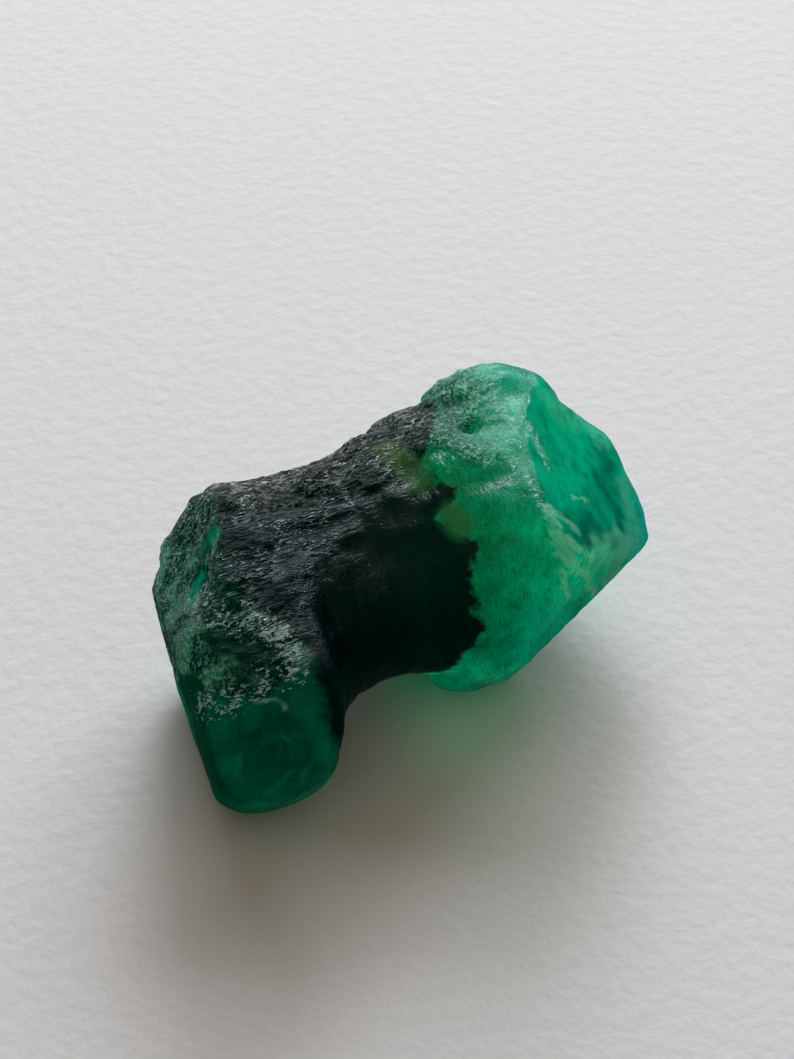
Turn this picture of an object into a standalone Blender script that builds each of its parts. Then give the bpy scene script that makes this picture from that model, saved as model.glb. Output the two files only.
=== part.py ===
"""Raw emerald crystal, one natural stone at its real size (metres, +Z up).

The stone lies along X on the plane z = 0. A blocky foot stands at -X, a faceted head at +X, and a
waisted neck arches between them. The body is a loft of unlike sections, smoothed by subdivision. Flat
crystal faces and breaks are cut from it by planes, swellings are joined on, and a noise relief adds the
lumps, ledges, furrows and pits of the etched skin.
"""
import math

import bmesh
import bpy
from mathutils import Matrix, Vector, noise

MM = 0.001
NODE = "emerald_crystal"

# Stations along the stone, in mm: x, front y, back y, underside z, top z, squareness of the section, and
# the slope of the top down toward the front
STATIONS = (
    (-10.7, -2.4, 2.8, 2.2, 7.0, 2.3, 0.10),
    (-10.2, -4.4, 4.6, 0.7, 9.0, 2.6, 0.18),
    (-9.0, -5.1, 6.0, -0.1, 10.4, 3.0, 0.24),
    (-7.5, -5.4, 6.6, -0.2, 10.9, 3.3, 0.26),
    (-6.2, -5.3, 6.7, -0.2, 11.0, 3.4, 0.26),
    (-5.3, -4.7, 6.7, -0.1, 10.9, 3.0, 0.26),
    (-4.5, -3.2, 6.6, 0.7, 10.7, 2.6, 0.28),
    (-3.4, -2.7, 6.5, 1.2, 10.4, 2.4, 0.28),
    (-1.5, -2.4, 6.4, 1.5, 10.3, 2.3, 0.28),
    (0.4, -2.9, 6.5, 1.0, 10.4, 2.3, 0.24),
    (2.0, -4.0, 6.8, 0.0, 10.7, 2.4, 0.12),
    (3.8, -4.5, 7.1, -0.3, 11.0, 2.5, 0.00),
    (6.0, -4.5, 7.2, -0.1, 11.1, 2.6, 0.00),
    (8.0, -4.1, 7.0, 0.7, 10.9, 2.7, 0.00),
    (9.8, -3.5, 6.5, 1.7, 10.4, 2.8, 0.00),
    (11.2, -2.6, 5.6, 2.7, 9.4, 2.8, 0.00),
    (12.2, -1.4, 4.2, 3.8, 7.8, 2.4, 0.00),
)
SECTION_POINTS = 16
# The crest that the top slopes down from, as a share of the half width behind the middle
CREST_OFFSET = 0.45

# Flat faces, in mm: a point on the face, the direction it looks in, and how much of the relief it keeps
FACES = {
    "head_end": ((7.6, -2.8, 7.7), (0.67, -0.38, 0.64), 0.35),
    "head_back_slope": ((10.4, 3.4, 8.4), (0.76, 0.25, 0.60), 0.60),
    "head_front_right": ((7.6, -3.3, 7.7), (0.34, -0.93, -0.11), 0.20),
    "head_lower_front": ((6.0, -3.1, 3.25), (0.33, -0.80, -0.50), 0.20),
    "head_under": ((5.1, -2.4, 0.4), (0.54, -0.10, -0.84), 0.40),
    "foot_end": ((-9.85, -1.0, 3.5), (-0.96, 0.21, -0.11), 0.60),
    "foot_back_corner": ((-9.0, 4.2, 7.8), (-0.81, 0.58, 0.10), 0.90),
    "foot_shoulder": ((-5.6, 5.2, 10.3), (-0.72, 0.40, 0.56), 1.00),
    "foot_front": ((-8.2, -4.7, 4.0), (-0.34, -0.90, 0.26), 0.15),
}
FACE_MARGIN = 0.5

# Swellings joined on, in mm: centre, half sizes, turn about Z in degrees
SWELLINGS = {
    "head_crown": ((6.6, 4.2, 9.0), (3.2, 2.3, 2.2), -6.0),
    "head_keel": ((3.0, -1.7, 1.75), (2.5, 1.2, 1.3), 0.0),
}

# Low knobs (positive) and pits (negative) of the skin, in mm: centre, reach, height
KNOBS = (
    ((-10.3, 0.6, 5.6), 1.1, 0.30),
    ((-5.4, 5.4, 10.2), 1.0, 0.25),
    ((3.4, 5.2, 10.9), 0.8, 0.22),
    ((4.6, 2.3, 11.0), 0.7, -0.45),
    ((8.7, 2.4, 8.2), 0.9, -0.20),
    ((-6.9, 1.0, 10.9), 1.2, -0.22),
    ((-8.2, -2.2, 9.6), 0.9, -0.20),
)

# Ledges across the upper side: the x where each one rises, and the length over which it sinks again, in mm
LEDGES = ((-2.6, 1.9), (0.9, 1.3), (2.3, 2.4), (4.9, 1.6))
LEDGE_HEIGHT = 0.20
LEDGE_RISE = 0.45

# Heights of the relief, in mm, and the stretch of the waist that carries furrows
LUMP_HEIGHT = 0.24
BARK_HEIGHT = 0.22
FURROW_DEPTH = 0.12
NECK_FROM, NECK_TO = -5.2, 2.6

# The skin's point spacing and the height below which it is pressed flat, in mm
SKIN_STEP = 0.20
BASE_FLAT = 0.07
WORN_EDGES = 2
TRIANGLES = 9400


def clear_scene():
    """Empty the file of objects."""
    for old in list(bpy.data.objects):
        bpy.data.objects.remove(old, do_unlink=True)


def section_ring(bm, station):
    """One ring of cage points, a superellipse between the station's four sides."""
    x, front, back, low, high, square, slope = station
    growth = 3.0 / (2.0 + math.cos(2.0 * math.pi / SECTION_POINTS))
    middle_y, half_y = (front + back) / 2, (back - front) / 2 * growth
    middle_z, half_z = (low + high) / 2, (high - low) / 2 * growth
    ring = []
    for step in range(SECTION_POINTS):
        turn = 2.0 * math.pi * (step + 0.5) / SECTION_POINTS
        across, up = math.cos(turn), math.sin(turn)
        size = (abs(across) ** square + abs(up) ** square) ** (-1.0 / square)
        y = middle_y + half_y * across * size
        z = middle_z + half_z * up * size
        before_crest = max(middle_y + CREST_OFFSET * half_y - y, 0.0)
        z -= slope * before_crest * max(up * size, 0.0)
        ring.append(bm.verts.new(Vector((x, y, z)) * MM))
    return ring


def loft_body():
    """The smooth body: a cage through the stations, subdivided."""
    bm = bmesh.new()
    rings = [section_ring(bm, station) for station in STATIONS]
    for near, far in zip(rings, rings[1:]):
        for step in range(SECTION_POINTS):
            following = (step + 1) % SECTION_POINTS
            bm.faces.new((near[step], near[following], far[following], far[step]))
    bm.faces.new(list(reversed(rings[0])))
    bm.faces.new(rings[-1])
    bmesh.ops.recalc_face_normals(bm, faces=bm.faces)
    mesh = bpy.data.meshes.new("body_cage")
    bm.to_mesh(mesh)
    bm.free()
    return mesh


def evaluated_mesh(obj):
    """The object's mesh with its modifiers applied."""
    graph = bpy.context.evaluated_depsgraph_get()
    return bpy.data.meshes.new_from_object(obj.evaluated_get(graph), depsgraph=graph)


def apply_modifiers(obj):
    """Replace the object's mesh by its evaluated one."""
    mesh = evaluated_mesh(obj)
    obj.modifiers.clear()
    obj.data = mesh


def add_object(name, mesh, collection):
    """Link a new object with this mesh into the collection."""
    obj = bpy.data.objects.new(name, mesh)
    collection.objects.link(obj)
    return obj


def cut_faces(mesh):
    """Plane cuts leave the flat crystal faces and breaks."""
    bm = bmesh.new()
    bm.from_mesh(mesh)
    for point, outward, kept in FACES.values():
        geometry = bm.verts[:] + bm.edges[:] + bm.faces[:]
        cut = bmesh.ops.bisect_plane(
            bm, geom=geometry, dist=1e-7, plane_co=Vector(point) * MM, plane_no=outward, clear_outer=True)
        rim = [part for part in cut["geom_cut"] if isinstance(part, bmesh.types.BMEdge)]
        bmesh.ops.holes_fill(bm, edges=rim, sides=0)
    bmesh.ops.recalc_face_normals(bm, faces=bm.faces)
    bm.to_mesh(mesh)
    bm.free()


def add_swelling(name, collection):
    """One swelling as a stretched sphere."""
    centre, half_sizes, turn = SWELLINGS[name]
    bm = bmesh.new()
    bmesh.ops.create_uvsphere(bm, u_segments=40, v_segments=24, radius=MM)
    stretch = Matrix.Diagonal((*half_sizes, 1.0))
    place = Matrix.Translation(Vector(centre) * MM) @ Matrix.Rotation(math.radians(turn), 4, "Z") @ stretch
    bmesh.ops.transform(bm, matrix=place, verts=bm.verts)
    mesh = bpy.data.meshes.new(name)
    bm.to_mesh(mesh)
    bm.free()
    obj = add_object(name, mesh, collection)
    obj.hide_render = True
    obj.display_type = "WIRE"
    return obj


def smooth_step(low, high, value):
    """0 below low, 1 above high, and an even rise between."""
    share = min(max((value - low) / (high - low), 0.0), 1.0)
    return share * share * (3.0 - 2.0 * share)


def stretched_noise(point, sizes, seed):
    """Noise in -1..1 whose grains have the given sizes along X, Y and Z, in mm."""
    return noise.noise(Vector((point.x / sizes[0] + seed, point.y / sizes[1], point.z / sizes[2])))


def face_share(point):
    """How much of the relief is left, small on the flat crystal faces."""
    share = 1.0
    for on_face, outward, kept in FACES.values():
        depth = abs((point - Vector(on_face)).dot(Vector(outward).normalized()))
        share *= kept + (1.0 - kept) * smooth_step(0.1, FACE_MARGIN, depth)
    return share


def ledge_height(point, upward):
    """Saw-tooth ledges that cross the upper side, each with a wandering, broken edge."""
    x = point.x + 1.3 * stretched_noise(point, (2.4, 1.5, 1.5), 41.0)
    height = 0.0
    for start, run in LEDGES:
        rise = smooth_step(start - LEDGE_RISE, start, x)
        height += LEDGE_HEIGHT * rise * (1.0 - smooth_step(start, start + run, x))
    broken = smooth_step(-0.35, 0.25, stretched_noise(point, (1.8, 1.8, 1.8), 61.0))
    return height * broken * smooth_step(0.55, 0.9, upward)


def relief(point, normal):
    """Height of the skin above the smooth form, in mm."""
    upward = normal.dot(Vector((0.0, 0.76, 0.65)))
    frontward = normal.dot(Vector((0.0, -0.95, -0.30)))
    on_neck = smooth_step(NECK_FROM, NECK_FROM + 1.5, point.x)
    on_neck *= 1.0 - smooth_step(NECK_TO - 1.5, NECK_TO, point.x)
    lumps = stretched_noise(point, (2.4, 2.4, 2.4), 3.0) + 0.5 * stretched_noise(point, (1.1, 1.1, 1.1), 17.0)
    bark = stretched_noise(point, (2.2, 0.75, 0.75), 29.0) * smooth_step(-0.1, 0.5, upward)
    furrows = -abs(stretched_noise(point, (0.7, 3.0, 3.0), 53.0)) * smooth_step(0.1, 0.6, frontward)
    rough = 0.35 + 0.65 * smooth_step(-0.3, 0.3, upward)
    height = LUMP_HEIGHT * lumps * rough + BARK_HEIGHT * bark + FURROW_DEPTH * furrows * on_neck
    height = height * face_share(point) + ledge_height(point, upward)
    for centre, reach, knob in KNOBS:
        away = (point - Vector(centre)).length / reach
        height += knob * math.exp(-2.0 * away * away)
    return height


def flatten_base(mesh):
    """The lowest skin becomes flat patches in the plane z = 0, on which the stone rests."""
    for vertex in mesh.vertices:
        if vertex.co.z < BASE_FLAT * MM:
            vertex.co.z = 0.0


def centre_over_origin(mesh):
    """Move the stone along X and Y until its box is centred on the origin."""
    for axis in (0, 1):
        reach = [vertex.co[axis] for vertex in mesh.vertices]
        middle = (min(reach) + max(reach)) / 2
        for vertex in mesh.vertices:
            vertex.co[axis] -= middle


def carve_skin(mesh):
    """Move every point of the fine skin along its normal by the relief."""
    bm = bmesh.new()
    bm.from_mesh(mesh)
    bm.normal_update()
    moves = [(vert, vert.normal.copy(), relief(vert.co / MM, vert.normal)) for vert in bm.verts]
    for vert, normal, height in moves:
        vert.co += normal * height * MM
    bm.to_mesh(mesh)
    bm.free()


def emerald_material():
    """Deep green, glassy beryl."""
    material = bpy.data.materials.new("emerald")
    material.use_nodes = True
    shader = material.node_tree.nodes["Principled BSDF"]
    shader.inputs["Base Color"].default_value = (0.01, 0.13, 0.06, 1.0)
    shader.inputs["Roughness"].default_value = 0.25
    shader.inputs["Metallic"].default_value = 0.0
    shader.inputs["IOR"].default_value = 1.57
    return material


def build_crystal(collection, helpers):
    """The whole stone: loft, faces, swellings, skin relief, then thinning to its triangle budget."""
    crystal = add_object(NODE, loft_body(), collection)
    smooth = crystal.modifiers.new("smooth", "SUBSURF")
    smooth.levels = smooth.render_levels = 2
    apply_modifiers(crystal)
    cut_faces(crystal.data)
    for name in SWELLINGS:
        union = crystal.modifiers.new(name, "BOOLEAN")
        union.operation = "UNION"
        union.solver = "EXACT"
        union.object = add_swelling(name, helpers)
    skin = crystal.modifiers.new("skin", "REMESH")
    skin.mode = "VOXEL"
    skin.voxel_size = SKIN_STEP * MM
    worn = crystal.modifiers.new("worn_edges", "SMOOTH")
    worn.factor = 0.5
    worn.iterations = WORN_EDGES
    bpy.context.view_layer.update()
    apply_modifiers(crystal)
    carve_skin(crystal.data)
    flatten_base(crystal.data)
    triangles = sum(len(face.vertices) - 2 for face in crystal.data.polygons)
    thin = crystal.modifiers.new("thin", "DECIMATE")
    thin.ratio = TRIANGLES / triangles
    thin.use_collapse_triangulate = True
    apply_modifiers(crystal)
    flatten_base(crystal.data)
    centre_over_origin(crystal.data)
    crystal.data.materials.append(emerald_material())
    return crystal


def new_collection(name):
    """A collection of this name under the scene."""
    collection = bpy.data.collections.new(name)
    bpy.context.scene.collection.children.link(collection)
    return collection


def main():
    """Build the model in an emptied scene."""
    clear_scene()
    build_crystal(new_collection("raw_emerald_crystal"), new_collection("swellings"))


main()
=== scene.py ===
"""The looks of the raw emerald crystal: its etched skin, its colour zones, and its paper.

The CAD solid gives the form. It is remeshed finely, the etched relief is raised on it, and the
zones and colours are written on its points, where one glass material reads them. The tables of
points, widths and bands are in mm.
"""
import math

import bmesh
import bpy
import numpy as np
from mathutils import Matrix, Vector, noise


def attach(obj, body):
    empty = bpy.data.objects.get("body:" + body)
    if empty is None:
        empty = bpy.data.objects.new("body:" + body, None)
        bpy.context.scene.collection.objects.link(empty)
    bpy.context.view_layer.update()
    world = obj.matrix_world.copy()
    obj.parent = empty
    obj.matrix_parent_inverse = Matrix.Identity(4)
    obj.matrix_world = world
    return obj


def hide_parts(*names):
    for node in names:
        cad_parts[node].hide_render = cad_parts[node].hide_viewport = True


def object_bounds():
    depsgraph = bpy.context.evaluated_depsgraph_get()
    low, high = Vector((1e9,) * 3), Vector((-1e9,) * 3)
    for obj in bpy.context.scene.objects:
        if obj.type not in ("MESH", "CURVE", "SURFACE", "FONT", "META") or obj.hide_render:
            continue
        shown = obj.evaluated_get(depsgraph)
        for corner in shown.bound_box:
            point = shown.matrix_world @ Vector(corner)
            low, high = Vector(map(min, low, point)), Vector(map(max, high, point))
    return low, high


MM = 0.001
NODE = "emerald_crystal"
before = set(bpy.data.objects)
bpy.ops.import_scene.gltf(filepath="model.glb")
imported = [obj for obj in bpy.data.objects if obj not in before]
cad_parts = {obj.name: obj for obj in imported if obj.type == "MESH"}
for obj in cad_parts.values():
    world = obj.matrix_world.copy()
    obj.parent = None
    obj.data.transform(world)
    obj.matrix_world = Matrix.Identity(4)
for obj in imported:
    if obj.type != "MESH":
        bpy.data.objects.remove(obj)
CAD_BOX = [list(corner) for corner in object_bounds()]

# ---------------------------------------------------------------- camera
AZIMUTH = math.radians(-30)
ELEVATION = math.radians(45)
DISTANCE = 110 * MM
PIXELS_PER_MM = 24.3
FRAME_WIDTH, FRAME_HEIGHT = 794, 1059
# A point in the stone, and the pixel of the picture that it falls on.
ANCHOR = Vector((-0.825, -1.072, 4.5)) * MM
ANCHOR_PIXEL = (400, 613)
CLIP_START = 1 * MM


def camera_axes():
    """Unit vectors from the stone back to the camera, to its right and upward in the picture."""
    back = Vector((math.sin(AZIMUTH) * math.cos(ELEVATION),
                   -math.cos(AZIMUTH) * math.cos(ELEVATION),
                   math.sin(ELEVATION)))
    right = Vector((math.cos(AZIMUTH), math.sin(AZIMUTH), 0))
    return back, right, back.cross(right)


def add_camera():
    """The camera, aimed so that the anchor falls on its pixel at the photo's scale."""
    back, right, up = camera_axes()
    across = (ANCHOR_PIXEL[0] - FRAME_WIDTH / 2) / PIXELS_PER_MM * MM
    down = (ANCHOR_PIXEL[1] - FRAME_HEIGHT / 2) / PIXELS_PER_MM * MM
    aim = ANCHOR - right * across + up * down
    data = bpy.data.cameras.new("camera")
    camera = bpy.data.objects.new("camera", data)
    bpy.context.scene.collection.objects.link(camera)
    camera.location = aim + back * DISTANCE
    camera.rotation_euler = back.to_track_quat("Z", "Y").to_euler()
    half_height = FRAME_HEIGHT / PIXELS_PER_MM / 2 * MM
    data.lens = data.sensor_width / 2 * DISTANCE / half_height
    data.clip_start = CLIP_START
    bpy.context.scene.camera = camera


# ---------------------------------------------------------------- shares, noises and lines
def ease(low, high, value):
    """A smooth share, 0 at `low` and before it and 1 at `high` and past it."""
    share = np.clip((value - low) / (high - low), 0.0, 1.0)
    return share * share * (3.0 - 2.0 * share)


def table(value, rows):
    """The second column of the rows, read off at a value of the first."""
    keys, results = zip(*rows)
    return np.interp(value, keys, results)


def grain(points, sizes, seed):
    """Noise in about -1..1 whose grains have the given sizes along X, Y and Z, in mm."""
    scaled = points / np.array(sizes) + np.array((seed, seed * 0.37, seed * 0.71))
    return np.array([noise.noise(Vector(p)) for p in scaled])


def crests(points, sizes, seed):
    """Noise in about -1..1 with sharp crests and round troughs."""
    return 1.0 - 2.6 * np.abs(grain(points, sizes, seed))


def near_line(points, line, width):
    """1 on a broken line of points, falling to 0 at `width` mm from it."""
    best = np.full(len(points), 1e9)
    for start, end in zip(line[:-1], line[1:]):
        a, b = np.array(start), np.array(end)
        share = np.clip((points - a) @ (b - a) / ((b - a) @ (b - a)), 0.0, 1.0)
        best = np.minimum(best, np.linalg.norm(points - a - share[:, None] * (b - a), axis=1))
    return ease(width, 0.0, best)


def near_lines(points, lines, width):
    """The same for several lines, each point taking the nearest."""
    return np.max([near_line(points, line, width) for line in lines], axis=0)


# ---------------------------------------------------------------- zones of the stone
NECK_AXIS_HEIGHT = 6.0
# The black zone's edge at the head: degrees round the neck from its top toward the front, and x.
BLACK_EDGE = (
    (-180, -1.0), (-140, 0.4), (-90, 2.2), (-39, 3.6), (-17, 2.2), (-10, 1.05), (8, 1.35),
    (19, 1.6), (21.5, 0.6), (31, 1.1), (38, 1.25), (44, 1.5), (53, 1.1), (56, 0.95), (74, 0.8),
    (88, 0.83), (97, 0.57), (114, 0.15), (126, 0.0), (140, -0.9), (180, -1.0),
)
# The black zone's edge at the foot, in front and behind: height and x.
BLACK_FOOT_FRONT = (
    (2, -6.1), (4, -6.5), (5.2, -6.8), (8.9, -7.0), (9.5, -7.6), (10.2, -8.3), (11.2, -8.6),
)
BLACK_FOOT_REAR = ((3, -7.5), (8, -8.3), (9.5, -8.3), (10.5, -7.7), (11, -7.4))
# The front edge of the neck's bark: x and y.
BARK_EDGE = ((-7.5, -3.0), (-5.2, -0.9), (-3.1, 0.5), (0.4, 1.1), (2.2, 1.55))
# The lower edge of the foot's etched top: x and height in front, and one height behind.
ETCHED_EDGE = ((-10.7, 7.8), (-9.2, 7.5), (-7.3, 8.7), (-6.5, 9.0))
ETCHED_EDGE_REAR = 4.5
# The edges of the head's frost: toward the front (x and y), and toward the end face (y and x).
FROST_FRONT = ((1.0, 1.6), (2.1, 0.9), (2.4, -0.1), (3.0, -1.2), (4.2, -1.8), (4.6, -2.6))
FROST_RIGHT = ((-2.4, 4.4), (-0.9, 4.5), (0.2, 4.8), (1.2, 5.2), (2.3, 6.1), (4.0, 6.5))
END_FACE_NORMAL = Vector((0.67, -0.38, 0.64)).normalized()
FOOT_FRONT_NORMAL = Vector((-0.34, -0.90, 0.26)).normalized()
# Bands in which a share goes from 0 to 1. By x, then by y:
NECK_BAND = (-7.2, -6.0)
FOOT_BAND = (-5.6, -6.6)
SALT_BAND = (-6.6, -7.2)
BLACK_REAR_BAND = (-2.5, 0.5)
ETCHED_REAR_BAND = (-2.5, 0.2)
# By the distance past an edge, in mm:
NECK_END_BAND = (0.6, -0.6)
HEAD_BAND = (-0.6, 0.6)
BARK_BAND = (-1.5, 0.6)
FOOT_GLASS_BAND = (0.35, -0.35)
FROST_FRONT_BAND = (-0.4, 0.4)
FROST_RIGHT_BAND = (0.7, -0.7)
# By the direction of the surface:
LEFT_END_FACING = (-0.30, -0.60)
END_FACE_FACING = (0.90, 0.97)
FOOT_FRONT_FACING = (0.5, 0.97)
FROST_FACING = (-0.2, 0.3)

# White flecks round the top of the foot, partly etched and partly painted glints.
SALT_LINES = (
    ((-9.68, 0.01, 8.95), (-9.54, -1.51, 9.72), (-8.70, -2.39, 9.63), (-7.89, -3.31, 9.37),
     (-7.31, -4.22, 8.78)),
    ((-7.42, -4.81, 8.54), (-8.66, -4.68, 8.25), (-9.44, -4.48, 7.92), (-10.22, -4.28, 7.59),
     (-11.14, -3.51, 7.06)),
)
SALT_WIDTH = 1.1
# Pale, flaky strips where the head's front meets its end face, their pale colour partly a painted
# reflection of the light: a line of points and a width.
FLAKES = (
    (((4.41, -3.64, 10.08), (4.51, -3.99, 9.75), (4.64, -4.33, 9.42)), 0.34),
    (((4.58, -3.65, 10.04), (5.13, -3.80, 9.40), (5.61, -4.14, 8.71)), 0.36),
    (((4.37, -4.32, 9.43), (5.00, -4.79, 8.80), (6.18, -4.52, 7.21)), 0.42),
    (((4.29, -4.54, 9.16), (4.64, -4.84, 8.74)), 0.26),
    (((4.27, -4.83, 8.74), (4.91, -5.08, 7.95), (6.30, -4.31, 5.79)), 0.46),
    (((4.22, -5.19, 8.00), (4.43, -5.16, 7.11), (4.82, -4.88, 5.90)), 0.34),
    (((6.07, -4.38, 5.61), (6.90, -3.92, 4.29)), 0.36),
    (((6.34, -2.54, 8.92), (6.88, -2.41, 8.48), (7.30, -2.40, 8.10)), 0.15),
)
# The way the flakes' streaks run.
FLAKE_RUN = Vector((0.43, -0.25, -0.87))


def black_sides(p):
    """Depths inside the black zone from its edge at the head and from its edge at the foot."""
    x, y, z = p.T
    around = np.degrees(np.arctan2(-y, z - NECK_AXIS_HEIGHT))
    head_side = table(around, BLACK_EDGE) - x
    front_edge = table(z, BLACK_FOOT_FRONT)
    rear_edge = table(z, BLACK_FOOT_REAR)
    rear = ease(*BLACK_REAR_BAND, y)
    foot_side = x - front_edge * (1 - rear) - rear_edge * rear
    return head_side, foot_side


def zones(p, n):
    """At each point the two depths in the black zone, and a share of each kind of surface."""
    x, y, z = p.T
    wander = grain(p, (0.9, 0.9, 0.9), 7.7)
    head_side, foot_side = black_sides(p)

    neck = ease(*NECK_BAND, x) * ease(*NECK_END_BAND, -head_side)
    on_top = ease(*BARK_BAND, y - table(x, BARK_EDGE) + 0.6 * wander)

    rear = ease(*ETCHED_REAR_BAND, y)
    limit = table(x, ETCHED_EDGE)
    limit = limit + (ETCHED_EDGE_REAR - limit) * rear + (0.5 + 1.3 * rear) * wander
    foot = ease(*FOOT_BAND, x)
    foot_glass = foot * ease(*FOOT_GLASS_BAND, z - limit)
    foot_rough = foot * (1 - foot_glass)
    left_end = foot_rough * ease(*LEFT_END_FACING, n[:, 0] + 0.15 * wander)
    # where the white specks go, partly painted glints
    salt_and_glints = ease(*SALT_BAND, x) * near_lines(p, SALT_LINES, SALT_WIDTH)

    head = ease(*HEAD_BAND, -head_side)
    end_face = head * ease(*END_FACE_FACING, n @ np.array(END_FACE_NORMAL))
    head_frost = (head * ease(*FROST_FRONT_BAND, y - table(x, FROST_FRONT) + 0.6 * wander)
                  * ease(*FROST_RIGHT_BAND, x - table(y, FROST_RIGHT) + 0.8 * wander)
                  * ease(*FROST_FACING, n[:, 2]))
    head_front = head * (1 - head_frost) * (1 - end_face)
    return {
        "head_side": head_side, "foot_side": foot_side,
        "bark": np.clip(neck * on_top, 0, 1), "satin": neck * (1 - on_top),
        "foot_glass": foot_glass, "foot_rough": foot_rough, "left_end": left_end, "salt_and_glints": salt_and_glints,
        "head_frost": head_frost, "head_front": head_front, "end_face": end_face,
    }


def flakes_near(p):
    """1 along the middle of the pale flakes, falling to 0 at their wavering edges."""
    jitter = 0.14 * grain(p, (0.35, 0.35, 0.35), 21.0)
    return np.max([near_line(p + jitter[:, None], line, width) for line, width in FLAKES], axis=0)


# ---------------------------------------------------------------- the skin
# The mesh's step. A finer one takes the skin past 200,000 triangles.
SKIN_STEP = 0.111 * MM
WELD_DISTANCE = 0.0005 * MM
# Passes of smoothing over the stone, and more of them over the head, rising between two x.
WEAR = 8
HEAD_WEAR = 16
HEAD_WEAR_BAND = (3.0, 4.5)
# Heights of the relief in mm, and the band above the table in which it comes in.
BARK_HEIGHT = 0.075
FROST_HEIGHT = 0.080
FURROW_HEIGHT = 0.028
STROKE_HEIGHT = 0.020
FLAKE_HEIGHT = 0.050
FOOT_WAVE = 0.060
FRONT_WAVE = 0.055
LEFT_WAVE = 0.090
FACE_WAVE = 0.012
RELIEF_BAND = (0.05, 0.8)


def applied(stone):
    """Make the stone's modifiers real."""
    graph = bpy.context.evaluated_depsgraph_get()
    stone.data = bpy.data.meshes.new_from_object(stone.evaluated_get(graph))
    stone.modifiers.clear()


def read_points(mesh):
    """The mesh's points in mm, and their normals."""
    flat = np.empty(len(mesh.vertices) * 3)
    mesh.vertices.foreach_get("co", flat)
    normals = np.empty(len(mesh.vertices) * 3)
    mesh.vertices.foreach_get("normal", normals)
    return flat.reshape(-1, 3) / MM, normals.reshape(-1, 3)


def fine_skin():
    """The CAD solid's form as an even, fine mesh, its creases worn and the head's most."""
    bm = bmesh.new()
    bm.from_mesh(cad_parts[NODE].data)
    bmesh.ops.remove_doubles(bm, verts=bm.verts, dist=WELD_DISTANCE)
    mesh = bpy.data.meshes.new("crystal_form")
    bm.to_mesh(mesh)
    bm.free()
    stone = bpy.data.objects.new("emerald_skin", mesh)
    bpy.context.scene.collection.objects.link(stone)
    remesh = stone.modifiers.new("even", "REMESH")
    remesh.mode = "VOXEL"
    remesh.voxel_size = SKIN_STEP
    worn = stone.modifiers.new("worn", "SMOOTH")
    worn.iterations = WEAR
    applied(stone)
    group = stone.vertex_groups.new(name="head")
    x = read_points(stone.data)[0][:, 0]
    shares = ease(*HEAD_WEAR_BAND, x)
    for index in np.flatnonzero(x > HEAD_WEAR_BAND[0]):
        group.add([int(index)], float(shares[index]), "REPLACE")
    worn = stone.modifiers.new("worn head", "SMOOTH")
    worn.iterations = HEAD_WEAR
    worn.vertex_group = "head"
    applied(stone)
    return stone


def relief(p, zone):
    """Height in mm to raise the skin by."""
    bark = crests(p, (1.3, 0.42, 0.42), 1.3) + 0.6 * crests(p, (0.7, 0.28, 0.28), 5.9)
    frost = crests(p, (0.75, 0.60, 0.60), 9.2) + 0.9 * grain(p, (0.34, 0.34, 0.34), 2.2)
    furrow = crests(p, (0.5, 2.2, 2.2), 4.4)
    wave = grain(p, (1.6, 1.6, 1.6), 6.1) + 0.5 * grain(p, (0.7, 0.7, 0.7), 16.1)
    stroke = crests(p, (0.45, 1.2, 1.2), 8.3)
    foot_top = zone["foot_rough"] * (1 - 0.6 * zone["left_end"])
    height = (BARK_HEIGHT * bark * np.maximum(zone["bark"], 0.7 * foot_top)
              + FROST_HEIGHT * frost * np.maximum(zone["head_frost"], 0.5 * foot_top)
              + FURROW_HEIGHT * furrow * zone["satin"]
              + STROKE_HEIGHT * stroke * zone["head_front"]
              + FLAKE_HEIGHT * flakes_near(p)
              + FOOT_WAVE * wave * zone["foot_glass"]
              + FRONT_WAVE * wave * zone["head_front"]
              + LEFT_WAVE * wave * zone["left_end"]
              + FACE_WAVE * wave * zone["end_face"])
    return height * ease(*RELIEF_BAND, p[:, 2])


# ---------------------------------------------------------------- colours written on the skin
HEAD_GREEN = (0.002, 0.95, 0.55)
# Painted glow: the head's lower part is made lighter, standing in for light carried through the
# stone.
HEAD_LOW_GLOW = (0.002, 1.0, 0.64)
HEAD_TOP = (0.003, 0.52, 0.34)
# Painted shade: the green next to the black zone is made darker, where the black takes the light.
HEAD_DEEP_SHADE = (0.001, 0.28, 0.10)
HEAD_SHADE = (0.001, 0.50, 0.30)
FROST_DARK = (0.002, 0.10, 0.065)
HEAD_PALE = (0.16, 0.95, 0.60)
BRIGHT = (0.003, 0.66, 0.42)
TEAL = (0.002, 0.66, 0.40)
TEAL_DEEP = (0.001, 0.26, 0.19)
# Painted glow along the head's bottom edge and low on its front.
RIM_GLOW = (0.01, 1.0, 0.60)
FOOT_GREEN = (0.001, 0.19, 0.11)
FOOT_VEIL = (0.006, 0.36, 0.24)
FOOT_ROUGH = (0.003, 0.030, 0.020)
# Painted shade on the foot's left end, where it turns away from the front.
FOOT_EDGE_SHADE = (0.001, 0.06, 0.03)
FOOT_CRACK = (0.02, 0.58, 0.38)
# Painted glow along the foot's bottom edge.
FOOT_RIM_GLOW = (0.003, 0.46, 0.25)
FOOT_GLINT = (0.66, 1.0, 0.95)
FOOT_SIDE = (0.004, 0.28, 0.17)
DUST = (0.26, 0.72, 0.52)
SLIVER = (0.002, 0.60, 0.38)

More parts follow.
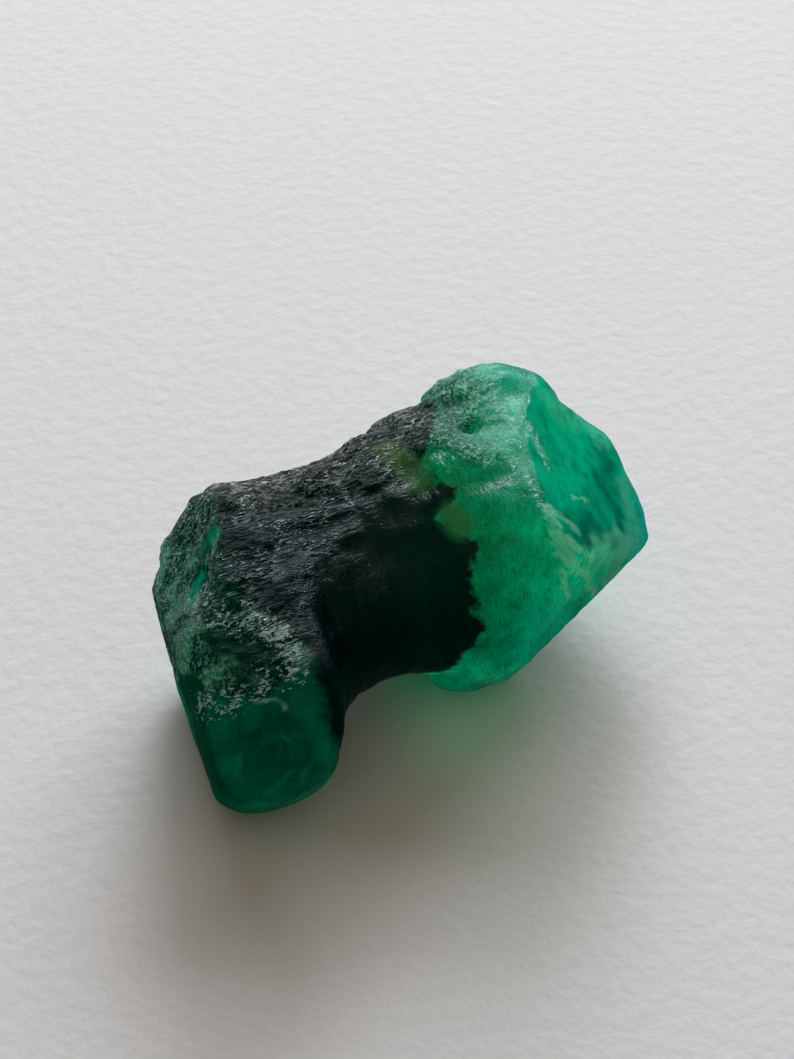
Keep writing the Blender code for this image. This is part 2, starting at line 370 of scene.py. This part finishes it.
# Bands of height or x, or of distance past the black zone, in which a colour comes in.
LOW_BAND = (8.0, 5.6)
TOP_BAND = (9.6, 10.4)
RIM_BAND = (3.8, 2.6)
RIM_START = (-3.0, -0.5)
DEEP_BAND = (2.6, 0.2)
DEEP_HEIGHT = (3.6, 5.2)
FROST_DARK_BAND = (2.6, 0.8)
FOOT_TINT_BAND = (-5.0, -6.5)
FOOT_SIDE_BAND = (-8.2, -7.2)
FOOT_SIDE_HEIGHT = (8.6, 7.6)
FOOT_RIM_BAND = (3.1, 2.4)
FOOT_EDGE_BAND = (-9.6, -10.6)

# Marks on the head, each a line of points.
DARK_BLOTCHES = (
    ((8.89, -1.19, 7.05), (9.04, -1.61, 6.64), (8.99, -2.26, 6.33)),
    ((7.02, -3.63, 7.57), (6.76, -3.56, 7.86), (5.86, -4.38, 8.28)),
    ((10.60, 1.01, 6.63), (9.74, -0.15, 6.83)),
)
BRIGHT_SPINE = ((6.60, 1.92, 10.88), (5.49, -0.63, 10.93), (6.47, -1.46, 9.47))
DUSTY_EDGE = ((7.98, 1.80, 10.07), (8.74, 1.91, 9.07), (9.70, 1.92, 8.05), (10.55, 1.58, 7.01))
PALE_FACE = ((6.55, -4.39, 7.25), (7.62, -3.90, 6.27), (8.65, -3.43, 5.76), (7.94, -3.58, 4.84))
DULL_RIM = ((10.58, -0.19, 5.87), (10.07, -1.20, 5.79), (9.80, -2.17, 5.56), (9.60, -2.97, 5.17))
# A line of painted glow low on the head's front.
LOW_GLOW_LINE = ((5.45, -4.56, 5.16), (6.44, -4.17, 5.00), (7.08, -3.94, 5.05))
HEAD_RIDGE = ((3.83, -0.63, 11.16), (4.15, -1.41, 10.88), (4.28, -2.27, 10.75),
              (4.49, -3.63, 10.07))
CHIPS = ((5.99, 0.17, 10.89), (5.83, -0.89, 10.43), (5.96, -1.31, 10.04))
# Olive patches at the black zone's edge, and clear slivers in the dusty left end.
OLIVE_SPOTS = (
    ((0.59, 2.36, 10.24), (0.70, 1.17, 10.33), (0.85, 0.23, 10.21)),
    ((1.10, -1.85, 9.81), (1.24, -2.27, 9.62)),
)
SLIVERS = (
    ((-7.75, 1.46, 10.60), (-8.09, 1.47, 9.93)),
    ((-8.89, 0.37, 9.63), (-9.15, 0.40, 9.29), (-9.40, 0.10, 9.25)),
)
# Fine curved veils inside the foot's glassy front, and a painted highlight along its upper edge.
ARCS = (
    ((-7.71, -6.11, 4.54), (-7.76, -6.19, 4.22), (-8.16, -6.15, 3.82), (-8.29, -6.22, 3.41)),
    ((-8.48, -5.95, 4.10), (-8.92, -5.91, 3.65), (-9.30, -5.85, 3.34), (-9.63, -5.78, 3.15)),
    ((-10.36, -4.98, 5.01), (-10.38, -5.13, 4.45), (-10.69, -5.11, 4.12)),
    ((-8.66, -5.40, 5.76), (-8.46, -5.58, 5.40)),
    ((-7.08, -6.20, 5.05), (-7.11, -6.31, 4.57)),
    ((-6.99, -5.64, 7.15), (-6.84, -5.76, 6.90), (-6.81, -6.00, 6.11)),
)
HIGHLIGHT_ARC = ((-9.35, -4.68, 7.37), (-9.02, -4.79, 7.41), (-8.67, -4.95, 7.31),
              (-8.33, -5.19, 6.94))


def pale_face(p):
    """The share of the pale patch low on the head's end face."""
    loose = p + 0.3 * grain(p, (0.6, 0.6, 0.6), 12.0)[:, None]
    return ease(0.0, 0.6, near_line(loose, PALE_FACE, 1.2))


def painted(colours, layers):
    """The colours with layers laid over them in turn, each a colour and its share."""
    for target, share in layers:
        share = np.clip(share, 0, 1)[:, None]
        colours = colours * (1 - share) + np.array(target) * share
    return colours


def head_tint(p, zone, cloud, fine):
    """The colour of the head, with a painted glow low down and painted shade next to the black
    zone.
    """
    x, _, z = p.T
    loose = p + 0.45 * fine[:, None] + 0.3 * cloud[:, None]
    past_black = -zone["head_side"] + 0.5 * fine
    deeper = grain(p, (1.2, 1.0, 1.7), 13.0) + 0.5 * grain(p, (0.4, 0.3, 0.6), 14.0)
    face = zone["end_face"]
    return painted(np.tile(HEAD_GREEN, (len(p), 1)), [
        (HEAD_SHADE, 0.6 * ease(0.0, 0.5, deeper)),
        # painted glow on the head's lower part
        (HEAD_LOW_GLOW, ease(*LOW_BAND, z + 0.6 * cloud)),
        (HEAD_TOP, np.maximum(zone["head_frost"], ease(*TOP_BAND, z))),
        # painted shade next to the black zone
        (HEAD_DEEP_SHADE, 0.8 * ease(*DEEP_BAND, past_black) * ease(*DEEP_HEIGHT, z + 0.5 * fine)),
        (FROST_DARK, 0.85 * zone["head_frost"] * ease(*FROST_DARK_BAND, past_black)),
        (TEAL, face),
        (TEAL_DEEP, 0.5 * face * ease(0.0, 0.5, -cloud + 0.4 * fine)),
        *((TEAL_DEEP, 0.65 * near_line(loose, line, 0.9)) for line in DARK_BLOTCHES),
        (BRIGHT, 0.9 * near_line(loose, BRIGHT_SPINE, 1.6)),
        (HEAD_PALE, 0.40 * near_line(loose, DUSTY_EDGE, 1.2)),
        (HEAD_PALE, pale_face(p)),
        (HEAD_PALE, 0.35 * near_line(loose, DULL_RIM, 0.8)),
        # painted glow at the head's bottom edge and low on its front
        (RIM_GLOW, 0.8 * near_line(loose, LOW_GLOW_LINE, 0.9)),
        (RIM_GLOW, ease(*RIM_BAND, z) * ease(*RIM_START, x)),
    ])


def foot_tint(p, n, cloud, fine):
    """The colour of the foot under its etched top, with a painted glow along its bottom and painted
    shade on its left end.
    """
    x, y, z = p.T
    veil = crests(p, (0.5, 0.5, 1.8), 31.0) + 0.9 * cloud
    facing = ease(*FOOT_FRONT_FACING, n @ np.array(FOOT_FRONT_NORMAL))
    bent = p + 0.10 * fine[:, None]
    return painted(np.tile(FOOT_GREEN, (len(p), 1)), [
        (FOOT_VEIL, 0.5 * ease(0.2, 1.3, veil)),
        (FOOT_SIDE, ease(*FOOT_SIDE_BAND, x) * ease(*FOOT_SIDE_HEIGHT, z)),
        # painted glow along the foot's bottom edge
        (FOOT_RIM_GLOW, ease(*FOOT_RIM_BAND, z + 0.3 * fine)),
        *((FOOT_CRACK, 0.5 * near_line(bent, line, 0.19)) for line in ARCS),
        # painted shade on the foot's left end, where it turns away from the front
        (FOOT_EDGE_SHADE, 0.8 * (1 - facing) * ease(*FOOT_EDGE_BAND, x + 0.2 * y)),
    ])


def tint(p, n, zone):
    """The stone's colour without the black, with painted glow, painted shade and a painted
    highlight in it.
    """
    cloud = grain(p, (1.5, 1.5, 1.5), 11.0)
    fine = grain(p, (0.6, 0.6, 0.6), 12.0)
    broken = p + 0.28 * grain(p, (0.3, 0.3, 0.3), 53.0)[:, None]
    mottle = grain(p, (1.2, 1.2, 1.2), 51.0) + 0.6 * grain(p, (0.45, 0.45, 0.45), 52.0)
    foot = ease(*FOOT_TINT_BAND, p[:, 0])[:, None]
    colours = head_tint(p, zone, cloud, fine) * (1 - foot) + foot_tint(p, n, cloud, fine) * foot
    return painted(colours, [
        (FOOT_ROUGH, 0.95 * zone["foot_rough"]),
        # a painted highlight along the upper edge of the foot's front
        (FOOT_GLINT, 0.7 * near_line(p + 0.12 * fine[:, None], HIGHLIGHT_ARC, 0.16)),
        (DUST, zone["left_end"] * ease(-0.10, 0.25, mottle)),
        *((SLIVER, 1.5 * near_line(broken, line, 0.55)) for line in SLIVERS),
    ])


def surface_fields(p, n, zone):
    """The shares that the material reads from the points."""
    foot_top = zone["foot_rough"] * (1 - zone["left_end"])
    cluster = ease(-0.35, 0.15, grain(p, (0.8, 0.8, 0.8), 41.0))
    near_black = ease(3.2, 1.2, -zone["head_side"])
    off_sliver = 1 - ease(0.0, 0.5, near_lines(p, SLIVERS, 0.7))
    patchy = np.maximum(0.5 * ease(-0.1, 0.3, grain(p, (1.3, 1.3, 1.3), 43.0)), near_black)
    loose = p + 0.35 * grain(p, (0.45, 0.45, 0.45), 45.0)[:, None]
    chipped = np.maximum(0.8 * near_line(loose, HEAD_RIDGE, 0.5), near_line(loose, CHIPS, 0.45))
    facing = ease(*FOOT_FRONT_FACING, n @ np.array(FOOT_FRONT_NORMAL))
    return {
        "head_side": zone["head_side"],
        "foot_side": zone["foot_side"],
        "bark": np.maximum(zone["bark"], foot_top),
        "frost": np.max([zone["head_frost"] * (0.4 + 0.6 * patchy),
                         0.75 * zone["left_end"] * off_sliver,
                         0.6 * chipped], axis=0),
        "glints": ease(-0.35, 0.25, grain(p, (1.6, 0.9, 0.9), 44.0)),
        # the bark's dusty crests, with a painted sheen toward the back ridge
        "crest_dust_and_sheen": zone["bark"] * ease(0.0, 2.4, p[:, 1]),
        # white specks, partly painted glints, also on the head's chipped ridge
        "salt_and_glints": np.maximum(zone["salt_and_glints"] * (0.35 + 0.65 * cluster) * off_sliver, 0.8 * chipped),
        "strokes": np.maximum(0.8 * zone["satin"], zone["head_front"] * (1 - pale_face(p))),
        "flakes": flakes_near(p),
        "dull": np.max([0.35 * zone["foot_glass"] * (1 - facing),
                        0.18 * zone["satin"],
                        0.05 * zone["head_frost"]], axis=0),
        "olive": np.clip(1.6 * near_lines(p, OLIVE_SPOTS, 0.8), 0, 1),
    }


def store(mesh, name, values):
    layer = mesh.attributes.new(name, "FLOAT", "POINT")
    layer.data.foreach_set("value", np.asarray(values, dtype=np.float32))


def store_colour(mesh, name, colours):
    layer = mesh.attributes.new(name, "FLOAT_COLOR", "POINT")
    rgba = np.ones((len(colours), 4), dtype=np.float32)
    rgba[:, :3] = colours
    layer.data.foreach_set("color", rgba.ravel())


def dress_skin(stone):
    """Raise the etched relief, inside the CAD box, and write the fields that the material reads."""
    mesh = stone.data
    p, n = read_points(mesh)
    zone = zones(p, n)
    raised = p + n * relief(p, zone)[:, None]
    low, high = (np.array(corner) / MM for corner in CAD_BOX)
    raised = np.clip(raised, low, high)
    mesh.vertices.foreach_set("co", (raised * MM).ravel())
    for name, values in surface_fields(p, n, zone).items():
        store(mesh, name, values)
    store_colour(mesh, "tint", tint(p, n, zone))
    mesh.update()
    mesh.shade_smooth()


# ---------------------------------------------------------------- the stone's material
# Inner light: beryl's refractive index, the absorption per metre, and the scattering.
IOR = 1.577
ABSORPTION_COLOUR = (0.0, 0.983, 0.915, 1)
ABSORPTION_DENSITY = 600.0
TRANSMISSION = 0.6
SCATTERING = 1.0
SCATTER_RADIUS = (0.8, 1.0, 0.8)
SCATTER_SCALE = 10.0 * MM
# Well below the physical 0.5, to keep a pale veil off the glass.
SPECULAR_LEVEL = 0.09
SPECULAR_TINT = (0.8, 1.0, 0.97, 1)

BLACK = (0.0020, 0.0006, 0.0010, 1)
# Dust on the bark's crests, and a painted sheen on them toward the back ridge.
BARK_DUST_AND_SHEEN = (0.30, 0.28, 0.27, 1)
OLIVE = (0.12, 0.13, 0.03, 1)
# Pale frosted crests, partly a painted glint on them.
FLECK_WHITE_AND_GLINT = (0.40, 0.88, 0.70, 1)
# White specks, partly etched salt and partly painted glints.
SALT_GLINT_WHITE = (0.72, 1.0, 0.92, 1)
# Pale flakes, their brightness partly a painted reflection of the light.
FEATHER_AND_SHEEN = (0.28, 1.0, 0.60, 1)
SHADOW_GREEN = (0.0, 0.05, 0.025, 1)
# How fully each of these covers the colour under it.
SHADE_COVER = 0.5
GROOVE_SHADE_COVER = 0.5
PIT_SHADE_COVER = 0.92
DUST_AND_SHEEN_COVER = 0.75
OLIVE_COVER = 0.9
FLECK_AND_GLINT_COVER = 0.8
# The bump: a pattern, the field that it shows in, and its depth in mm.
CARVINGS = (
    ("bark", "bark", -0.10),
    ("grit", "frost", 0.22),
    ("strokes", "strokes", -0.022),
    ("chips", "salt_and_glints", 0.25),
    ("facets", "frost", -0.05),
    ("facets", "strokes", -0.022),
)
# How far the black zone's edges at the head and at the foot wander, in mm.
HEAD_JAG = 1.5
FOOT_JAG = 1.4
# Roughness of the clean glass, and what worn bark and worn frost add to it.
CLEAN_ROUGHNESS = 0.15
BARK_ROUGHNESS = 0.70
FROST_ROUGHNESS = 0.40


class Tree:
    """A short way to write a node tree."""

    def __init__(self, owner):
        self.tree = owner.node_tree
        self.tree.nodes.clear()

    def node(self, kind, **settings):
        made = self.tree.nodes.new(kind)
        for key, value in settings.items():
            setattr(made, key, value)
        return made

    def wire(self, value, socket):
        if isinstance(value, bpy.types.NodeSocket):
            self.tree.links.new(value, socket)
        else:
            socket.default_value = value

    def math(self, operation, a, b=0.0, clamp=False):
        made = self.node("ShaderNodeMath", operation=operation, use_clamp=clamp)
        self.wire(a, made.inputs[0])
        self.wire(b, made.inputs[1])
        return made.outputs[0]

    def times(self, a, b):
        return self.math("MULTIPLY", a, b)

    def plus(self, a, b):
        return self.math("ADD", a, b)

    def minus(self, a, b):
        return self.math("SUBTRACT", a, b)

    def mix(self, factor, a, b):
        made = self.node("ShaderNodeMix", data_type="RGBA")
        self.wire(factor, made.inputs[0])
        self.wire(a, made.inputs[6])
        self.wire(b, made.inputs[7])
        return made.outputs[2]

    def ramp(self, value, low, high):
        """A smooth share, 0 at `low` and 1 at `high`."""
        made = self.node("ShaderNodeMapRange", interpolation_type="SMOOTHSTEP")
        self.wire(value, made.inputs[0])
        self.wire(low, made.inputs[1])
        self.wire(high, made.inputs[2])
        return made.outputs[0]

    def field(self, name):
        return self.node("ShaderNodeAttribute", attribute_name=name).outputs["Fac"]

    def noise(self, sizes, detail=2.0, rough=0.5, distortion=0.0, along=Vector((1, 0, 0))):
        """Noise in 0..1 whose grains have these sizes in mm, the first of them along `along`."""
        place = self.node("ShaderNodeTexCoord").outputs["Object"]
        scale = self.node("ShaderNodeMapping", vector_type="TEXTURE")
        self.wire(place, scale.inputs["Vector"])
        scale.inputs["Rotation"].default_value = along.to_track_quat("X", "Z").to_euler()
        scale.inputs["Scale"].default_value = [size * MM for size in sizes]
        made = self.node("ShaderNodeTexNoise")
        self.wire(scale.outputs[0], made.inputs["Vector"])
        made.inputs["Scale"].default_value = 1.0
        made.inputs["Detail"].default_value = detail
        made.inputs["Roughness"].default_value = rough
        made.inputs["Distortion"].default_value = distortion
        return made.outputs["Fac"]

    def ridges(self, *settings):
        """Noise that is 0 on sharp crests and up to about 1 in its troughs."""
        away = self.math("ABSOLUTE", self.minus(self.noise(*settings), 0.5))
        return self.math("MULTIPLY", away, 4.0, clamp=True)


def stone_colour(t, pattern):
    """The colour under the glass: the tint and the black, and the marks that cover them, among them
    painted shade in hollows and painted glints and sheen on crests.
    """
    jag = t.minus(t.noise((0.9, 0.9, 0.9), 3.0, 0.65), 0.5)
    head_side = t.plus(t.field("head_side"), t.times(jag, HEAD_JAG))
    foot_side = t.plus(t.field("foot_side"), t.times(jag, FOOT_JAG))
    black = t.times(t.ramp(head_side, -0.12, 0.12), t.ramp(foot_side, -0.5, 0.4))

    shade = t.ramp(t.noise((0.8, 0.8, 0.8), 4.0, 0.65), 0.38, 0.72)
    # painted shade in the grooves of the strokes
    groove_shade = t.times(t.ramp(pattern["strokes"], 0.2, 0.8), t.field("strokes"))
    # painted shade in the frost's hollows
    pits = t.times(t.ramp(pattern["grit"], 0.52, 0.44), t.field("frost"))
    # dust and a painted sheen on the bark's crests
    dust_and_sheen_share = t.times(t.ramp(pattern["bark"], 0.20, 0.03), t.field("crest_dust_and_sheen"))

    # pale frosted crests, partly painted glints
    pale_fleck_and_glint = t.times(t.ramp(pattern["facets"], 0.26, 0.05), t.ramp(pattern["grit"], 0.43, 0.53))
    pale_fleck_and_glint = t.times(pale_fleck_and_glint, t.ramp(t.field("frost"), 0.1, 0.9))

    # pale flakes, partly a painted reflection of the light
    streaks = t.minus(t.noise((1.2, 0.16, 0.16), 2.0, 0.6, 0.2, FLAKE_RUN), 0.5)
    pale_flake_and_sheen = t.ramp(t.plus(t.field("flakes"), t.times(streaks, 2.6)), 0.10, 1.10)
    pale_flake_and_sheen = t.times(pale_flake_and_sheen, t.ramp(t.field("flakes"), 0.02, 0.25))

    # White specks, partly etched salt and partly painted glints. The more salt there is, the lower
    # a chip may be and still show white.
    crowd = t.minus(0.62, t.times(t.field("salt_and_glints"), 0.14))
    white_speck_and_glint = t.ramp(t.minus(pattern["chips"], crowd), 0.0, 0.06)
    white_speck_and_glint = t.times(white_speck_and_glint, t.ramp(t.field("salt_and_glints"), 0.02, 0.2))

    colour = t.node("ShaderNodeAttribute", attribute_name="tint").outputs["Color"]
    colour = t.mix(t.times(shade, SHADE_COVER), colour, SHADOW_GREEN)
    colour = t.mix(t.times(groove_shade, GROOVE_SHADE_COVER), colour, SHADOW_GREEN)
    colour = t.mix(t.times(pits, PIT_SHADE_COVER), colour, SHADOW_GREEN)
    colour = t.mix(black, colour, BLACK)
    colour = t.mix(t.times(dust_and_sheen_share, DUST_AND_SHEEN_COVER), colour, BARK_DUST_AND_SHEEN)
    colour = t.mix(t.times(t.field("olive"), OLIVE_COVER), colour, OLIVE)
    colour = t.mix(t.times(pale_fleck_and_glint, FLECK_AND_GLINT_COVER), colour, FLECK_WHITE_AND_GLINT)
    colour = t.mix(pale_flake_and_sheen, colour, FEATHER_AND_SHEEN)
    return t.mix(white_speck_and_glint, colour, SALT_GLINT_WHITE)


def stone_bump(t, pattern):
    """The normal, bent by all the carvings."""
    first, *rest = [t.times(t.times(pattern[name], t.field(field)), depth)
                    for name, field, depth in CARVINGS]
    height = first
    for carving in rest:
        height = t.plus(height, carving)
    bump = t.node("ShaderNodeBump")
    bump.inputs["Strength"].default_value = 1.0
    bump.inputs["Distance"].default_value = MM
    t.wire(height, bump.inputs["Height"])
    return bump.outputs[0]


def stone_roughness(t, pattern):
    """Rough in the bark's troughs and the frost's pits, glossy on their crests and on the glass."""
    sparse = t.times(t.minus(1.0, t.field("glints")), 0.9)
    worn_bark = t.math("MAXIMUM", t.ramp(pattern["bark"], 0.03, 0.38), sparse)
    worn_bark = t.times(worn_bark, t.field("bark"))
    worn_bark = t.times(worn_bark, t.minus(1.0, t.field("salt_and_glints")))
    worn_frost = t.times(t.ramp(pattern["grit"], 0.62, 0.45), t.field("frost"))
    rough = t.plus(CLEAN_ROUGHNESS, t.times(worn_bark, BARK_ROUGHNESS))
    rough = t.plus(rough, t.times(worn_frost, FROST_ROUGHNESS))
    return t.math("ADD", rough, t.field("dull"), clamp=True)


def emerald_material():
    material = bpy.data.materials.new("emerald")
    material.use_nodes = True
    t = Tree(material)
    out = t.node("ShaderNodeOutputMaterial")
    shader = t.node("ShaderNodeBsdfPrincipled")
    t.wire(shader.outputs[0], out.inputs["Surface"])
    absorb = t.node("ShaderNodeVolumeAbsorption")
    absorb.inputs["Color"].default_value = ABSORPTION_COLOUR
    absorb.inputs["Density"].default_value = ABSORPTION_DENSITY
    t.wire(absorb.outputs[0], out.inputs["Volume"])
    pattern = {
        "bark": t.ridges((0.75, 0.20, 0.20), 2.5, 0.5, 0.8),
        "strokes": t.ridges((0.14, 0.55, 0.55), 2.0, 0.62, 0.9),
        "grit": t.noise((0.19, 0.15, 0.15), 3.0, 0.68),
        "facets": t.ridges((0.40, 0.30, 0.30), 3.0, 0.62, 0.8),
        "chips": t.noise((0.38, 0.15, 0.15), 2.5, 0.66, 0.8),
    }
    t.wire(stone_colour(t, pattern), shader.inputs["Base Color"])
    t.wire(stone_bump(t, pattern), shader.inputs["Normal"])
    t.wire(stone_roughness(t, pattern), shader.inputs["Roughness"])
    shader.inputs["IOR"].default_value = IOR
    shader.inputs["Specular IOR Level"].default_value = SPECULAR_LEVEL
    shader.inputs["Specular Tint"].default_value = SPECULAR_TINT
    shader.inputs["Transmission Weight"].default_value = TRANSMISSION
    shader.inputs["Subsurface Weight"].default_value = SCATTERING
    shader.inputs["Subsurface Radius"].default_value = SCATTER_RADIUS
    shader.inputs["Subsurface Scale"].default_value = SCATTER_SCALE
    return material


# ---------------------------------------------------------------- paper
PAPER_SIDE = 420 * MM
PAPER_COLOUR = (0.74, 0.73, 0.735, 1)
PAPER_ROUGHNESS = 0.85
# The paper's tooth: the size of its bumps in mm, their height, and how fully they show.
TOOTH_SIZE = 0.7
TOOTH_HEIGHT = 0.09 * MM
TOOTH_STRENGTH = 0.6


def paper_material():
    material = bpy.data.materials.new("paper")
    material.use_nodes = True
    t = Tree(material)
    out = t.node("ShaderNodeOutputMaterial")
    shader = t.node("ShaderNodeBsdfPrincipled")
    t.wire(shader.outputs[0], out.inputs["Surface"])
    shader.inputs["Base Color"].default_value = PAPER_COLOUR
    shader.inputs["Roughness"].default_value = PAPER_ROUGHNESS
    tooth = t.noise((TOOTH_SIZE, TOOTH_SIZE, TOOTH_SIZE), 3.0, 0.5)
    bump = t.node("ShaderNodeBump")
    bump.inputs["Strength"].default_value = TOOTH_STRENGTH
    bump.inputs["Distance"].default_value = TOOTH_HEIGHT
    t.wire(tooth, bump.inputs["Height"])
    t.wire(bump.outputs[0], shader.inputs["Normal"])
    return material


def add_floor():
    """The paper. Glossy rays miss it, or its mirror image would veil the head's end face."""
    bpy.ops.mesh.primitive_plane_add(size=PAPER_SIDE, location=(0, 0, 0))
    floor = bpy.context.object
    floor.name = "paper"
    floor.data.materials.append(paper_material())
    floor.visible_glossy = False


# ---------------------------------------------------------------- light
# The room's light: its strength all round, and what it gains overhead and on the viewer's side.
ROOM_COLOUR = (1.10, 0.93, 0.72, 1)
ROOM_STRENGTH = 0.04
OVERHEAD_STRENGTH = 0.24
VIEWER_SIDE_STRENGTH = 0.07
DAYLIGHT = (0.97, 1.02, 1.09)
WINDOW_DISTANCE = 0.55


def add_area(name, azimuth, elevation, size, power):
    """A rectangular piece of window, seen from the stone at these angles (0 is +Y, 90 is +X)."""
    data = bpy.data.lights.new(name, "AREA")
    data.shape = "RECTANGLE"
    data.size, data.size_y = size
    data.energy = power
    data.color = DAYLIGHT
    lamp = bpy.data.objects.new(name, data)
    bpy.context.scene.collection.objects.link(lamp)
    az, el = math.radians(azimuth), math.radians(elevation)
    direction = Vector((math.sin(az) * math.cos(el), math.cos(az) * math.cos(el), math.sin(el)))
    lamp.location = direction * WINDOW_DISTANCE
    lamp.rotation_euler = direction.to_track_quat("Z", "Y").to_euler()


def add_light():
    """A dim, warm room, and a window beyond the stone, opposite the camera."""
    world = bpy.data.worlds.new("world")
    bpy.context.scene.world = world
    world.use_nodes = True
    t = Tree(world)
    out = t.node("ShaderNodeOutputWorld")
    background = t.node("ShaderNodeBackground")
    t.wire(background.outputs[0], out.inputs["Surface"])
    parts = t.node("ShaderNodeSeparateXYZ")
    t.wire(t.node("ShaderNodeTexCoord").outputs["Generated"], parts.inputs[0])
    overhead = t.math("MAXIMUM", parts.outputs["Z"], 0.0)
    viewer_side = t.math("MAXIMUM", t.times(parts.outputs["Y"], -1.0), 0.0)
    background.inputs["Color"].default_value = ROOM_COLOUR
    strength = t.plus(ROOM_STRENGTH, t.times(overhead, OVERHEAD_STRENGTH))
    strength = t.plus(strength, t.times(viewer_side, VIEWER_SIDE_STRENGTH))
    t.wire(strength, background.inputs["Strength"])
    add_area("window", azimuth=39, elevation=31, size=(0.60, 0.38), power=3.20)
    add_area("bright pane", azimuth=32, elevation=30, size=(0.17, 0.14), power=1.10)


BLACK_LEVEL = (0.005, 0.001, 0.001)


def set_tone():
    """A plain tone curve with a slightly firm toe."""
    settings = bpy.context.scene.view_settings
    settings.view_transform = "Standard"
    settings.use_curve_mapping = True
    settings.curve_mapping.black_level = BLACK_LEVEL
    settings.curve_mapping.update()


def main():
    add_camera()
    stone = fine_skin()
    dress_skin(stone)
    stone.data.materials.append(emerald_material())
    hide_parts(NODE)
    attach(stone, "root")
    add_floor()
    add_light()
    set_tone()


main()
